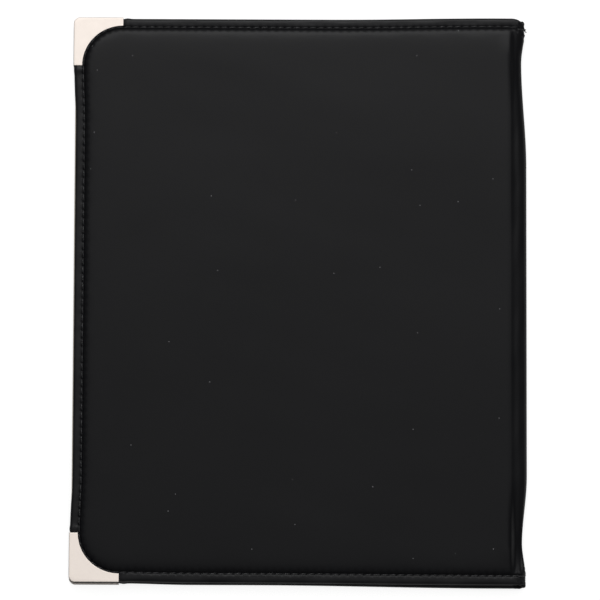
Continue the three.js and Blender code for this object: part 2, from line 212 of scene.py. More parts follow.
# Skin: one sheet of the vinyl round both padded covers and the soft spine between them. Each half
# runs to the middle of the spine. It falls from the padding to a flat border, rolls round the
# board's edge and is turned in over the lining. Millimetres, for the lower cover, up from the table.
middle, board_edge, fore_fold, end_fold, corner_in = 6.0, 118.95, -127.55, 161.8, 27.5
border_level, padding_inset, skin_thick, stitch_inset = 1.8, 5.8, 0.6, 5.1
lining_top, hem_top, hem_width = 4.7, 5.3, 9.0
stitches_end, stitches_corner, stitches_fore, cells_per_stitch = 48, 8, 58, 8
spine_stitches, spine_cells = 2.5, 20


def rise(value, low, high):
    share = np.clip((np.asarray(value, float) - low) / (high - low), 0, 1)
    return share * share * (3 - 2 * share)


def bell(value, centre, width):
    return np.exp(-((np.asarray(value, float) - centre) / width) ** 2)


def level(inset):
    over = np.maximum(np.asarray(inset, float) - padding_inset, 0)
    return 1.15 * np.exp(-over / 1.0) + 0.65 * np.exp(-over / 3.6)


def reach(y):
    from_end = end_fold - np.abs(y)
    return 8.2 - 1.9 * rise(from_end, 5.8, 24) + 2.8 * rise(from_end, 24, np.where(np.asarray(y) < 0, 62, 84))


def uneven(seed, size, *places):
    rng = np.random.default_rng(seed)
    total = 0
    for _ in range(7):
        turn = rng.normal(size=len(places))
        turn = turn / np.linalg.norm(turn)
        length = size * rng.uniform(0.7, 1.6)
        along = sum(t * p for t, p in zip(turn, places))
        total = total + np.sin(along * 2 * math.pi / length + rng.uniform(0, 2 * math.pi))
    return total / 3.5


# The sheet's line round the spine at one height up the folder, from the board's edge to the middle
# of the spine. A layer that comes off the board's top goes down its edge first.
def round_spine(y, offset, top=None, drop=0):
    flat = 0.34 * reach(y)
    base = float(level(end_fold - abs(y))) + offset
    angle = np.linspace(math.pi / 2, 0, 49)
    x = board_edge + flat + (reach(y) - flat - offset) * np.cos(angle)
    z = middle - (middle - base) * np.sin(angle)
    if top is None:
        x, z = np.append(board_edge, x), np.append(base, z)
    else:
        x = np.concatenate([[board_edge, drop - 0.35, drop - 0.1, drop], x])
        z = np.concatenate([[top, top, top - 0.1, top - 0.45], z])
    length = np.append(0, np.cumsum(np.hypot(np.diff(x), np.diff(z))))
    at = np.append(np.linspace(0, 1, spine_cells)[:-1], [1 - 0.03 / length[-1], 1]) * length[-1]
    return np.interp(at, length, x), np.interp(at, length, z)


LAYERS = {
    "face": (lambda inset: level(inset), 0.0, None, 0),
    "back": (lambda inset: level(inset - 0.4) + skin_thick, skin_thick, None, 0),
    "under": (lambda inset: lining_top + 0 * inset, 1.2, lining_top, 119.55),
    "hem": (lambda inset: hem_top + 0 * inset, 1.8, hem_top, 120.15),
}


def layer_at(name, inset, y):
    height, offset, top, drop = LAYERS[name]
    x, z = round_spine(y, offset, top, drop)
    return float(height(np.float64(inset))), x, z


# A round fore-edge corner at an inset. Close to the fold it becomes the hem's squarer corner.
def corner_curve(inset, cells):
    angle = np.linspace(math.pi / 2, math.pi, cells + 1)
    c, s = np.cos(angle), np.sin(angle)
    size = corner_in - inset
    small = max(2.8 - inset, 0.8)
    side = size / np.maximum(np.abs(c), np.abs(s))
    b = (np.abs(c) + np.abs(s)) * (size - small)
    curved = b + np.sqrt(np.maximum(b * b - 2 * (size - small) ** 2 + small ** 2, 0))
    in_corner = (curved * np.abs(c) > size - small) & (curved * np.abs(s) > size - small)
    square = np.where(in_corner, curved, side)
    weight = 1 - rise(inset, 1.6, 4.3)
    radius = size * (1 - weight) + square * weight
    return fore_fold + corner_in + radius * c, end_fold - corner_in + radius * s


# One line of the sheet all round a cover: from the middle of the spine along the upper edge, down
# the fore-edge and back along the lower edge. share goes from layer a to layer b.
def ring(inset, a, b, share, halvings):
    z_a, xs_a, zs_a = layer_at(a, inset, end_fold - inset)
    z_b, xs_b, zs_b = layer_at(b, inset, end_fold - inset)
    z_flat = z_a + (z_b - z_a) * share
    xs, zs = xs_a + (xs_b - xs_a) * share, zs_a + (zs_b - zs_a) * share
    fine = cells_per_stitch // 2 ** halvings
    y = end_fold - inset
    along = np.linspace(board_edge, fore_fold + corner_in, stitches_end * fine + 1)
    corner_x, corner_y = corner_curve(inset, stitches_corner * fine)
    down = np.linspace(end_fold - corner_in, corner_in - end_fold, stitches_fore * fine + 1)
    upper = np.column_stack([
        np.concatenate([xs[::-1], along[1:], corner_x[1:]]),
        np.concatenate([np.full(spine_cells + stitches_end * fine + 1, y), corner_y[1:]]),
        np.concatenate([zs[::-1], np.full((stitches_end + stitches_corner) * fine, z_flat)])])
    fore = np.column_stack([np.full(len(down), fore_fold + inset), down, np.full(len(down), z_flat)])
    points = np.concatenate([upper, fore[1:-1], (upper * [1, -1, 1])[::-1]])
    turn = np.linspace(1, 0, spine_cells + 1) * -spine_stitches
    count = np.linspace(0, 2 * (stitches_end + stitches_corner) + stitches_fore,
                        (2 * (stitches_end + stitches_corner) + stitches_fore) * fine + 1)
    stitch = np.concatenate([turn, count[1:-1], count[-1] - turn[::-1]])
    return points, stitch


class Sheet:
    """Vertices and faces of a closed sheet, with what each vertex is."""

    def __init__(self):
        self.points, self.faces, self.inset, self.stitch, self.side = [], [], [], [], []
        self.count = 0

    def add(self, points, inset, stitch, side):
        ids = np.arange(self.count, self.count + len(points))
        self.count += len(points)
        self.points.append(points)
        self.inset.append(np.broadcast_to(inset, len(points)))
        self.stitch.append(np.broadcast_to(stitch, len(points)))
        self.side.append(np.full(len(points), side))
        return ids

    def strip(self, a, b):
        """Faces between two lines. One may have half the cells of the other between the spine's."""
        if len(a) == len(b):
            for i in range(len(a) - 1):
                self.face(a[i], a[i + 1], b[i + 1], b[i])
            return
        flip = len(a) < len(b)
        fine, coarse = (b, a) if flip else (a, b)
        s = spine_cells
        spans = [(fine[:s + 1], coarse[:s + 1]), (fine[-s - 1:], coarse[-s - 1:])]
        for f, c in spans:
            for i in range(s):
                a, b = (c, f) if flip else (f, c)
                self.face(a[i], a[i + 1], b[i + 1], b[i])
        f, c = fine[s:-s], coarse[s:-s]
        for i in range(len(c) - 1):
            parts = [(f[2 * i], f[2 * i + 1], c[i]), (f[2 * i + 1], c[i + 1], c[i]),
                     (f[2 * i + 1], f[2 * i + 2], c[i + 1])]
            for part in parts:
                self.face(*(part[::-1] if flip else part))

    def face(self, *ids):
        kept = [v for n, v in enumerate(ids) if v != ids[n - 1]]
        if len(kept) > 2:
            self.faces.append(kept)


FACE, HEM, BACK = 0, 1, 2


def rows_of_cover():
    """The lines round a cover, in order from the turned-in edge, over the fold to the padding."""
    rows = [(hem_width, "hem", "under", 0.5, 1, HEM), (hem_width - 0.12, "hem", "hem", 0, 1, HEM)]
    rows += [(d, "hem", "hem", 0, 1, HEM) for d in (8.2, 7.2, 6.3, 5.7, 5.4, 5.1, 4.8, 4.4, 3.6, 2.6)]
    for degrees in (90, 68, 46, 23, 0, -23, -46, -68, -90):
        turn = math.radians(degrees)
        depth = 1.45 * (1 - abs(math.cos(turn)) ** 0.8) if abs(degrees) < 90 else 1.45
        rows.append((depth, "face", "hem", (1 + math.sin(turn)) / 2, 1, HEM if degrees > 0 else FACE))
    rows += [(d, "face", "face", 0, 1, FACE) for d in (2.1, 2.9, 3.6)]
    rows += [(d, "face", "face", 0, 0, FACE) for d in
             (4.0, 4.35, 4.6, 4.8, 4.95, 5.1, 5.25, 5.45, 5.7, 5.95, 6.25, 6.65, 7.2, 7.9)]
    rows += [(d, "face", "face", 0, 1, FACE) for d in (8.8, 9.8, 11, 12.5, 14.3, 16.4, 18.8)]
    rows += [(d, "face", "face", 0, 2, FACE) for d in (21.2, 23.5, 25.6)]
    return rows


def rows_inside():
    rows = [(hem_width, "under", "hem", 0.0, 1, BACK)]
    rows += [(d, "under", "under", 0, 1, BACK) for d in (5.0, 2.1)]
    for degrees in (60, 0, -60):
        turn = math.radians(degrees)
        rows.append((0.6 + 0.7 * (1 - math.cos(turn)), "back", "under", (1 + math.sin(turn)) / 2, 1, BACK))
    rows += [(d, "back", "back", 0, 1, BACK) for d in (2.1, 4.2, 5.9, 6.8, 8.0, 10, 13)]
    rows += [(d, "back", "back", 0, 2, BACK) for d in (18, 23)]
    return rows


def middle_field(sheet, layer, side):
    """The flat field inside all the lines, as a grid, and its edge as one more line."""
    y_rows = np.linspace(end_fold - corner_in, corner_in - end_fold, stitches_fore * 2 + 1)
    x_straight = np.linspace(board_edge, fore_fold + corner_in, stitches_end * 2 + 1)
    ids = []
    for y in y_rows:
        inset = np.minimum(x_straight - fore_fold, end_fold - abs(y))
        _, xs, zs = layer_at(layer, corner_in, y)
        z = LAYERS[layer][0](inset)
        points = np.column_stack([np.append(xs[::-1], x_straight[1:]),
                                  np.full(spine_cells + len(x_straight), y), np.append(zs[::-1], z[1:])])
        turn = np.append(np.full(spine_cells, end_fold - abs(y)), inset)
        ids.append(sheet.add(points, turn, 0.25, side))
    ids = np.array(ids)
    for i in range(len(ids) - 1):
        for j in range(ids.shape[1] - 1):
            sheet.face(ids[i][j], ids[i][j + 1], ids[i + 1][j + 1], ids[i + 1][j])
    arc = stitches_corner * 2
    edge = np.concatenate([ids[0], np.full(arc, ids[0][-1]), ids[1:-1, -1], np.full(arc, ids[-1][-1]),
                           ids[-1][::-1]])
    return edge, ids[:, 0]


def make_sheet():
    sheet = Sheet()
    spine_lines = []
    for rows, layer, side in ((rows_of_cover(), "face", FACE), (rows_inside(), "back", BACK)):
        previous = None
        tops, bottoms = [], []
        for inset, a, b, share, halvings, kind in rows:
            points, stitch = ring(inset, a, b, share, halvings)
            ids = sheet.add(points, inset, stitch, kind)
            if previous is not None:
                sheet.strip(previous, ids)
            else:
                first = ids
            previous = ids
            tops.append(ids[0])
            bottoms.append(ids[-1])
        edge, spine_line = middle_field(sheet, layer, side)
        sheet.strip(previous, edge)
        spine_lines.append((first, tops, bottoms, list(spine_line)))
    (first_face, tops_f, bottoms_f, line_f), (first_back, tops_b, bottoms_b, line_b) = spine_lines
    sheet.strip(first_face, first_back)
    loop = tops_f + line_f + bottoms_f[::-1] + bottoms_b + line_b[::-1] + tops_b[::-1]
    return sheet, loop


def mesh_of(name, points, faces):
    mesh = bpy.data.meshes.new(name)
    mesh.from_pydata(points * 0.001, [], faces)
    mesh.update()
    return mesh


def turn_outwards(mesh):
    """Makes every face of a closed mesh point outwards."""
    work = bmesh.new()
    work.from_mesh(mesh)
    bmesh.ops.recalc_face_normals(work, faces=work.faces)
    if work.calc_volume(signed=True) < 0:
        bmesh.ops.reverse_faces(work, faces=work.faces)
    work.to_mesh(mesh)
    work.free()


# How far the sheet stands out from its plain form, outwards positive: the sewn groove with its
# needle holes and puckers, the border's waves, the rolled ends of the spine, and a soft crown.
def relief(x, y, inset, stitch, side):
    from_end = end_fold - np.abs(y)
    face = side == FACE
    phase = np.abs(stitch - np.round(stitch))
    turned = rise(x, board_edge - 0.5, board_edge + 3)
    lift = np.zeros(len(x))
    groove = -0.32 * bell(inset, 5.25, 0.62) - 0.38 * bell(inset, 5.1, 0.42) * bell(phase, 0, 0.14)
    pucker = -0.11 * bell(inset, 6.7, 0.9) * np.cos(phase * 2 * math.pi)
    pucker -= 0.12 * bell(inset, 4.2, 0.7) * bell(phase, 0, 0.16)
    lift += np.where(face, groove + pucker, 0)
    waves = uneven(3, 9, x, y) * 0.05 + uneven(4, 26, x, y) * 0.07
    lift += np.where(face, waves * bell(inset, 2.9, 1.6), 0)
    lift += np.where(face, 0.07 * bell(inset, 2.6, 1.2) * (1 - turned), 0)
    field = rise(inset, 7, 30) * (1 - turned)
    lift += np.where(face, field * (uneven(5, 90, x, y) * 0.10 + uneven(6, 34, x, y) * 0.02), 0)
    crest = uneven(7, 15, x, y) * 0.05 * bell(inset, 8, 2.5)
    lift += np.where(face, crest, 0)
    ends = rise(x, board_edge + 2.5, board_edge + 5) * (1 - rise(from_end, 8, 13))
    lift += np.where(side != BACK, ends * (uneven(8, 2.3, x, y) * 0.32 + uneven(9, 1.5, x, y) * 0.11), 0)
    edge = rise(x, board_edge - 9, board_edge - 1.5) * (1 - rise(x, board_edge - 0.5, board_edge + 2))
    lift += np.where(face, 0.34 * edge * rise(from_end, 9, 20), 0)
    hem_seam = -0.22 * bell(inset, 5.1, 0.5)
    lift += np.where((side == HEM) & (inset > 2), hem_seam + uneven(10, 12, x, y) * 0.03, 0)
    arm_x = np.abs(x - (fore_fold + corner_in + 2.6)) + np.maximum(inset - 4.6, 0) * 3
    arm_y = np.abs(np.abs(y) - (end_fold - corner_in - 2.6)) + np.maximum(inset - 4.6, 0) * 3
    beside = bell(arm_x, 0, 1.5) * (from_end < 8) + bell(arm_y, 0, 1.5) * (x < fore_fold + 8)
    lift += np.where(face & (inset < 6.5), 0.34 * beside, 0)
    corner_x, corner_y = fore_fold + corner_in - x, np.abs(y) - (end_fold - corner_in)
    under_metal = (np.hypot(corner_x, corner_y) > 23.3) & (corner_x > -0.2) & (corner_y > -0.2)
    lift += np.where(under_metal & (side != BACK), -0.12, 0)
    tuck = bell(np.hypot(corner_x, corner_y), 22.2, 0.8) * (corner_x > 0) * (corner_y > 0)
    lift += np.where(face, uneven(11, 4, x, y) * 0.10 * tuck, 0)
    return lift


# The soft spine sinks between the boards' edges and its own rounded back. At both ends it is pinched
# down to the border's level and below, more at the lower end. Positive is towards the middle plane.
def sunk(x, y):
    from_end = end_fold - np.abs(y)
    valley = 0.60 * rise(x, 118.8, 123.0) * (1 - rise(x, 124.4, 127.4)) * rise(from_end, 5, 16)
    over = np.maximum(from_end - padding_inset, 0)
    held = border_level - level(from_end) + 1.4 * (1 - np.exp(-over / 7))
    across = rise(x, 118.3, 121.6) * (1 - rise(x, 124.2, 127.6))
    pinch = np.where(y < 0, 1.0, 0.4) * held * across * (1 - rise(from_end, 24, 60))
    ripple = 1 + 0.14 * uneven(12, 16, y, x) * rise(from_end, 8, 16)
    slack = 0.14 * uneven(13, 38, y, x * 3) * bell(x, 123.4, 2.6) * rise(from_end, 14, 30)
    return (valley + pinch) * ripple + slack


# The real sheet isn't quite true: its ends stand out towards the spine, the lower cover's most, and
# the fore-edge is drawn in between the metal corners.
def out_of_true(points, upper):
    x, y = points[:, 0], points[:, 1]
    near_end = rise(np.abs(y), 70, end_fold)
    high = 1.10 * rise(x, 20, 110) - 1.5 * rise(x, 119.5, 127)
    low = (0.5 if upper else 0.75) * rise(x, -99, -60) + (0.6 if upper else 1.35) * rise(x, -20, 108)
    moved = points.copy()
    moved[:, 1] += near_end * np.where(y > 0, high, -low)
    moved[:, 0] += 0.85 * rise(132 - np.abs(y), 0, 30) * (1 - rise(x, -123, -104))
    return moved


def build_skin():
    sheet, loop = make_sheet()
    points = np.concatenate(sheet.points)
    inset, stitch = np.concatenate(sheet.inset), np.concatenate(sheet.stitch)
    side = np.concatenate(sheet.side)
    plain = mesh_of("skin_plain", points, sheet.faces)
    turn_outwards(plain)
    normals = np.zeros(len(points) * 3)
    plain.vertex_normals.foreach_get("vector", normals)
    normals = normals.reshape(-1, 3)
    outward = normals[np.argmin(points[:, 2])][2]
    if outward > 0:
        normals = -normals
    faces = [list(p.vertices) for p in plain.polygons]
    bpy.data.meshes.remove(plain)
    x, y = points[:, 0], points[:, 1]
    lift = relief(x, y, inset, stitch, side)
    at_seam = np.zeros(len(points), bool)
    at_seam[loop] = True
    moved = points + normals * lift[:, None]
    towards = sunk(x, y) * (middle - points[:, 2]) / middle
    moved[:, 2] += np.where((x > board_edge - 6) & ((side == FACE) | (x > board_edge)), towards, 0)
    moved[at_seam, 2] = middle
    # Lighter bands painted into the skin's colour: the fold's edge (wear from handling, and a painted
    # highlight), the spine's rounded back (a painted reflection of the pale surroundings), the padding's edge
    # beside the seam (a painted highlight) and the flat border.
    wear_and_sheen = 0.8 * bell(inset, 0.3, 0.8) * (side != BACK) + 0.45 * bell(x, 126.5, 1.6)
    wear_and_sheen += 0.15 * bell(inset, 7.5, 0.7)
    wear_and_sheen += 0.65 * bell(inset, 2.7, 1.7) * (side == FACE)
    cap = [Vector((moved[i, 0], moved[i, 1], 0)) for i in loop]
    for a, b, c in tessellate_polygon([cap]):
        faces.append([loop[a], loop[b], loop[c]])
    return moved, faces, np.clip(wear_and_sheen * (0.6 + 0.4 * uneven(14, 20, x, y)), 0, 1)


def add_piece(name, points, faces, material, smooth=55, wear_and_highlight_share=None, upper=False):
    points = out_of_true(points, upper)
    if upper:
        points = points * [1, 1, -1] + [0, 0, 2 * middle]
        faces = [face[::-1] for face in faces]
    else:
        points[:, 2] = np.maximum(points[:, 2], 0)
    mesh = mesh_of(name, points, faces)
    turn_outwards(mesh)
    mesh.polygons.foreach_set("use_smooth", np.ones(len(mesh.polygons), bool))
    mesh.set_sharp_from_angle(angle=math.radians(smooth))
    if wear_and_highlight_share is not None:
        attribute = mesh.attributes.new("rubbed", "FLOAT", "POINT")
        attribute.data.foreach_set("value", wear_and_highlight_share.astype(np.float32))
    mesh.materials.append(material)
    piece = bpy.data.objects.new(name, mesh)
    bpy.context.collection.objects.link(piece)
    return piece


skin_points, skin_faces, skin_wear_and_sheen = build_skin()
for cover in ("front", "back"):
    skin = add_piece(f"{cover}_vinyl_skin", skin_points, skin_faces, black_vinyl, 60, skin_wear_and_sheen,
                     cover == "back")
    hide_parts(f"{cover}_skin", f"{cover}_hinge_skin", "spine_skin")
    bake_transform(skin)

# Nickel corners: pressed from thin nickel-plated steel, with a concave inner edge, folded round
# both faces of the cover's fore-edge corners and closed with a slit across the inside. A face
# attribute on the upright side walls holds painted shade. Where it is set, the plate is painted
# near-black and made more metallic: fully on the upper cover's corners, a little over half on the lower's.
nickel = Finish("nickel_plate")
place = nickel.node("ShaderNodeTexCoord", output="Object")
smear = nickel.noise(place, 90, 4, 0.6)
fine = nickel.noise(place, 700, 3, 0.6)
stretched = nickel.node("ShaderNodeMapping", None, {
    "Vector": place, "Rotation": (0, 0, 0.6), "Scale": (2600, 90, 400)})
scratch = nickel.noise(stretched, 1, 2)
bump = nickel.node("ShaderNodeBump", None, {"Strength": 0.10, "Distance": 0.0001, "Height": scratch + smear})
pits = nickel.noise(place, 1100, 2, 0.7)
stain = nickel.noise(place, 260, 4, 0.7)
dulled = smear * 0.45 + stain * 0.55 + (pits > 0.66) * 0.35
plate = nickel.mix(dulled, (0.98, 0.89, 0.82, 1), (0.88, 0.795, 0.73, 1))
# Painted shade on the side walls: the attribute darkens the base colour and raises the metallic.
shaded = nickel.node("ShaderNodeAttribute", {"attribute_name": "folded"}, output="Fac")
nickel_plate = nickel.end(nickel.node("ShaderNodeBsdfPrincipled", None, {
    "Base Color": nickel.mix(shaded, plate, (0.03, 0.028, 0.027, 1)),
    "Metallic": shaded * 0.55 + 0.40,
    "Roughness": smear * 0.14 + fine * 0.08 + 0.46, "Normal": bump}))

metal_outer_x, metal_outer_y, metal_leg, metal_arc, metal_tip = -128.05, 162.3, 28.0, 23.1, 2.0
metal_low, metal_high, metal_thick, metal_fold = 1.4, 5.7, 0.4, 0.45
# The last value is the share of painted wall shade on the lower cover's corners.
metal_flat, metal_slit, lower_wall_shade = 0.5, 0.5, 0.55


def corner_piece():
    """The corner's sheet as lines from the concave edge on the face, round the fold, to the inside."""
    angles = np.radians(np.concatenate([np.linspace(0, 43.5, 26), [45], np.linspace(46.5, 90, 26)]))
    c, s = np.cos(angles), np.sin(angles)

    def outline(size, tip):
        side = size / np.maximum(c, s)
        cut = (2 * size - tip) / (c + s)
        return np.minimum(side, cut)

    def line(share, inward, z, slit=0):
        outer = outline(metal_leg - inward, metal_tip * 1.1)
        radius = metal_arc + (outer - metal_arc) * share
        u, v = radius * c, radius * s
        if slit:
            gap = slit / 2 / math.sqrt(2)
            low, high = angles < math.radians(44.9), angles > math.radians(45.1)
            overlap = np.maximum(0, v + 2 * gap - u) / 2
            v = np.where(low, v - overlap, v)
            overlap = np.maximum(0, u + 2 * gap - v) / 2
            u = np.where(high, u - overlap, u)
        return np.column_stack([
            metal_outer_x + metal_leg - u, metal_outer_y - metal_leg + v, np.full(len(u), z)])

    lines = [line(share, metal_flat, metal_low) for share in (0, 0.06, 0.3, 0.6, 0.85, 1)]
    for degrees in (-60, -30, 0):
        turn = math.radians(degrees)
        lines.append(line(1, metal_fold * (1 - math.cos(turn)), metal_low + metal_fold * (1 + math.sin(turn))))
    for degrees in (0, 30, 60, 90):
        turn = math.radians(degrees)
        lines.append(line(1, metal_fold * (1 - math.cos(turn)), metal_high - metal_fold * (1 - math.sin(turn))))
    lines += [line(share, metal_flat, metal_high, metal_slit) for share in (0.85, 0.6, 0.3, 0.06, 0)]
    return lines


def build_corner():
    lines = corner_piece()
    count = len(lines[0])
    points = np.concatenate(lines)
    faces = []
    centre = count // 2
    for i in range(len(lines) - 1):
        for j in range(count - 1):
            if i >= len(lines) - 5 and j in (centre - 1, centre):
                continue
            here, there = i * count + j, (i + 1) * count + j
            faces.append([here, here + 1, there + 1, there])
    return points, faces


def finished(piece):
    """Applies a piece's modifiers and leaves a plain mesh."""
    graph = bpy.context.evaluated_depsgraph_get()
    mesh = bpy.data.meshes.new_from_object(piece.evaluated_get(graph))
    piece.modifiers.clear()
    piece.data = mesh
    mesh.name = piece.name
    return piece


corner_points, corner_faces = build_corner()
for cover in ("front", "back"):
    for end, flip in (("top", 1), ("bottom", -1)):
        points = corner_points * [1, flip, 1]
        if cover == "back":
            points = points * [1, 1, -1] + [0, 0, 2 * middle]
        mirrored = (flip < 0) != (cover == "back")
        faces = corner_faces if mirrored else [face[::-1] for face in corner_faces]
        mesh = mesh_of(f"{cover}_nickel_corner_{end}", points, faces)
        corner = bpy.data.objects.new(mesh.name, mesh)
        bpy.context.collection.objects.link(corner)
        mesh.polygons.foreach_set("use_smooth", np.ones(len(mesh.polygons), bool))
        wall = corner.modifiers.new("wall", "SOLIDIFY")
        wall.thickness, wall.offset, wall.use_even_offset = metal_thick * 0.001, -1, False
        soften = corner.modifiers.new("soften", "BEVEL")
        soften.width, soften.segments, soften.limit_method = 0.00012, 2, "ANGLE"
        soften.angle_limit = math.radians(50)
        finished(corner)
        corner.data.set_sharp_from_angle(angle=math.radians(38))
        corner.data.materials.clear()
        corner.data.materials.append(nickel_plate)
        # Painted shade: upright faces take the dark wall colour, fully on the upper cover and less on the
        # lower.
        slopes = np.array([abs(face.normal.z) for face in corner.data.polygons])
        upright = np.where(slopes < 0.8, np.minimum(2 - 2 * slopes, 1), 0)
        folded = corner.data.attributes.new("folded", "FLOAT", "FACE")
        share = 1 if cover == "back" else lower_wall_shade
        folded.data.foreach_set("value", (upright * share).astype(np.float32))
        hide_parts(f"{cover}_corner_{end}")
        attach(corner, f"{cover}_cover")

# Thread: a black three-ply sewing thread in lockstitch, 4.6 mm to the stitch. The needle thread lies
# in the groove outside, the bobbin thread on the turned-in hem, and both dive into the same holes.
thread = Finish("black_thread")
place = thread.node("ShaderNodeTexCoord", output="Object")
ply = thread.node("ShaderNodeTexWave", {"wave_type": "BANDS", "bands_direction": "DIAGONAL"},
                  {"Vector": place, "Scale": 520, "Distortion": 1.5, "Detail": 1})
lint = thread.noise(place, 3000, 2)
bump = thread.node("ShaderNodeBump", None, {"Strength": 0.5, "Distance": 0.0001, "Height": ply + lint * 0.4})
twine = thread.mix(ply, (0.008, 0.008, 0.009, 1), (0.024, 0.024, 0.026, 1))
black_thread = thread.end(thread.node("ShaderNodeBsdfPrincipled", None, {
    "Base Color": twine, "Roughness": lint * 0.12 + 0.26, "Normal": bump,
    "Sheen Weight": 0.25, "Sheen Roughness": 0.4}))


def stitch_tree():
    """Geometry Nodes: one stitch on every point of the seam's path, lying along the path."""
    tree = bpy.data.node_groups.new("lockstitch", "GeometryNodeTree")
    face = tree.interface
    face.new_socket("Path", in_out="INPUT", socket_type="NodeSocketGeometry")
    for name, value in (("Stitch length", 0.0040), ("Thread width", 0.0006), ("Dive", 0.0005),
                        ("Slant", 0.10)):
        made = face.new_socket(name, in_out="INPUT", socket_type="NodeSocketFloat")
        made.default_value = value
    face.new_socket("Seed", in_out="INPUT", socket_type="NodeSocketInt").default_value = 4
    face.new_socket("Finish", in_out="INPUT", socket_type="NodeSocketMaterial")
    face.new_socket("Seam", in_out="OUTPUT", socket_type="NodeSocketGeometry")

    def node(kind, settings=None, sockets=None):
        made = tree.nodes.new(kind)
        for name, value in (settings or {}).items():
            setattr(made, name, value)
        for name, value in (sockets or {}).items():
            if isinstance(value, bpy.types.NodeSocket):
                tree.links.new(value, made.inputs[name])
            else:
                made.inputs[name].default_value = value
        return made

    given = node("NodeGroupInput").outputs
    half = node("ShaderNodeMath", {"operation": "MULTIPLY"}, {0: given["Stitch length"], 1: 0.5}).outputs[0]
    minus = node("ShaderNodeMath", {"operation": "MULTIPLY"}, {0: half, 1: -1.0}).outputs[0]
    start = node("ShaderNodeCombineXYZ", None, {"X": minus}).outputs[0]
    stop = node("ShaderNodeCombineXYZ", None, {"X": half}).outputs[0]
    line = node("GeometryNodeCurvePrimitiveLine", None, {"Start": start, "End": stop}).outputs[0]
    fine = node("GeometryNodeResampleCurve", None, {"Curve": line, "Count": 11}).outputs[0]
    share = node("ShaderNodeMath", {"operation": "DIVIDE"}, {
        0: node("ShaderNodeSeparateXYZ", None, {0: node("GeometryNodeInputPosition").outputs[0]}).outputs["X"],
        1: half}).outputs[0]
    fourth = node("ShaderNodeMath", {"operation": "POWER"}, {
        0: node("ShaderNodeMath", {"operation": "ABSOLUTE"}, {0: share}).outputs[0], 1: 2.2}).outputs[0]
    down = node("ShaderNodeMath", {"operation": "MULTIPLY"}, {0: fourth, 1: given["Dive"]}).outputs[0]
    sink = node("ShaderNodeMath", {"operation": "MULTIPLY"}, {0: down, 1: -1.0}).outputs[0]
    bent = node("GeometryNodeSetPosition", None, {
        "Geometry": fine, "Offset": node("ShaderNodeCombineXYZ", None, {"Z": sink}).outputs[0]}).outputs[0]
    radius = node("ShaderNodeMath", {"operation": "MULTIPLY"}, {0: given["Thread width"], 1: 0.5}).outputs[0]
    ring_shape = node("GeometryNodeCurvePrimitiveCircle", None, {"Resolution": 7, "Radius": radius}).outputs[0]
    tube = node("GeometryNodeCurveToMesh", None, {
        "Curve": bent, "Profile Curve": ring_shape, "Fill Caps": True}).outputs[0]
    along, above = [node("GeometryNodeInputNamedAttribute", {"data_type": "FLOAT_VECTOR"},
                         {"Name": name}).outputs[0] for name in ("along", "above")]
    first = node("FunctionNodeAlignRotationToVector", {"axis": "X"}, {"Vector": along}).outputs[0]
    second = node("FunctionNodeAlignRotationToVector", {"axis": "Z", "pivot_axis": "X"},
                  {"Rotation": first, "Vector": above}).outputs[0]
    least = node("ShaderNodeMath", {"operation": "MULTIPLY"}, {0: given["Slant"], 1: 0.4}).outputs[0]
    slant = node("FunctionNodeRandomValue", {"data_type": "FLOAT"}, {
        "Min": least, "Max": given["Slant"], "Seed": given["Seed"]})
    twist = node("FunctionNodeAxisAngleToRotation", None, {
        "Axis": (0, 0, 1), "Angle": slant.outputs[1]}).outputs[0]
    lying = node("FunctionNodeRotateRotation", {"rotation_space": "LOCAL"}, {
        "Rotation": second, "Rotate By": twist}).outputs[0]
    stitches = node("GeometryNodeInstanceOnPoints", None, {
        "Points": given["Path"], "Instance": tube, "Rotation": lying}).outputs[0]
    real = node("GeometryNodeRealizeInstances", None, {"Geometry": stitches}).outputs[0]
    painted = node("GeometryNodeSetMaterial", None, {
        "Geometry": real, "Material": given["Finish"]}).outputs[0]
    smooth = node("GeometryNodeSetShadeSmooth", None, {"Geometry": painted}).outputs[0]
    out = node("NodeGroupOutput")
    tree.links.new(smooth, out.inputs["Seam"])
    return tree


def seam_path(layer, lift, first, last):
    """Stitch middles along the sewn line, with the way they run and the way up off the sheet."""
    points, stitch = ring(stitch_inset, layer, layer, 0, 0)
    points[:, 2] += np.where(points[:, 0] > board_edge - 6,
                             sunk(points[:, 0], points[:, 1]) * (middle - points[:, 2]) / middle, 0)
    middles = np.arange(first, last + 0.5) + 0.5
    at = lambda q: np.column_stack([np.interp(q, stitch, points[:, k]) for k in range(3)])
    along = at(middles + 0.25) - at(middles - 0.25)
    along /= np.linalg.norm(along, axis=1)[:, None]
    across = np.cross(along, [0, 0, 1.0])
    across = np.where(np.linalg.norm(across, axis=1)[:, None] < 0.1, [[0, 1.0, 0]], across)
    across[:, 2] = 0
    across /= np.linalg.norm(across, axis=1)[:, None]
    above = np.cross(across, along)
    above *= np.sign(np.sum(above * [0.3, 0, 1.0], axis=1))[:, None] * (1 if layer == "hem" else -1)
    return at(middles) + above * lift, along, above


lockstitch = stitch_tree()
thread_ids = {item.name: item.identifier
              for item in lockstitch.interface.items_tree if item.in_out == "INPUT"}
last_stitch = 2 * (stitches_end + stitches_corner) + stitches_fore
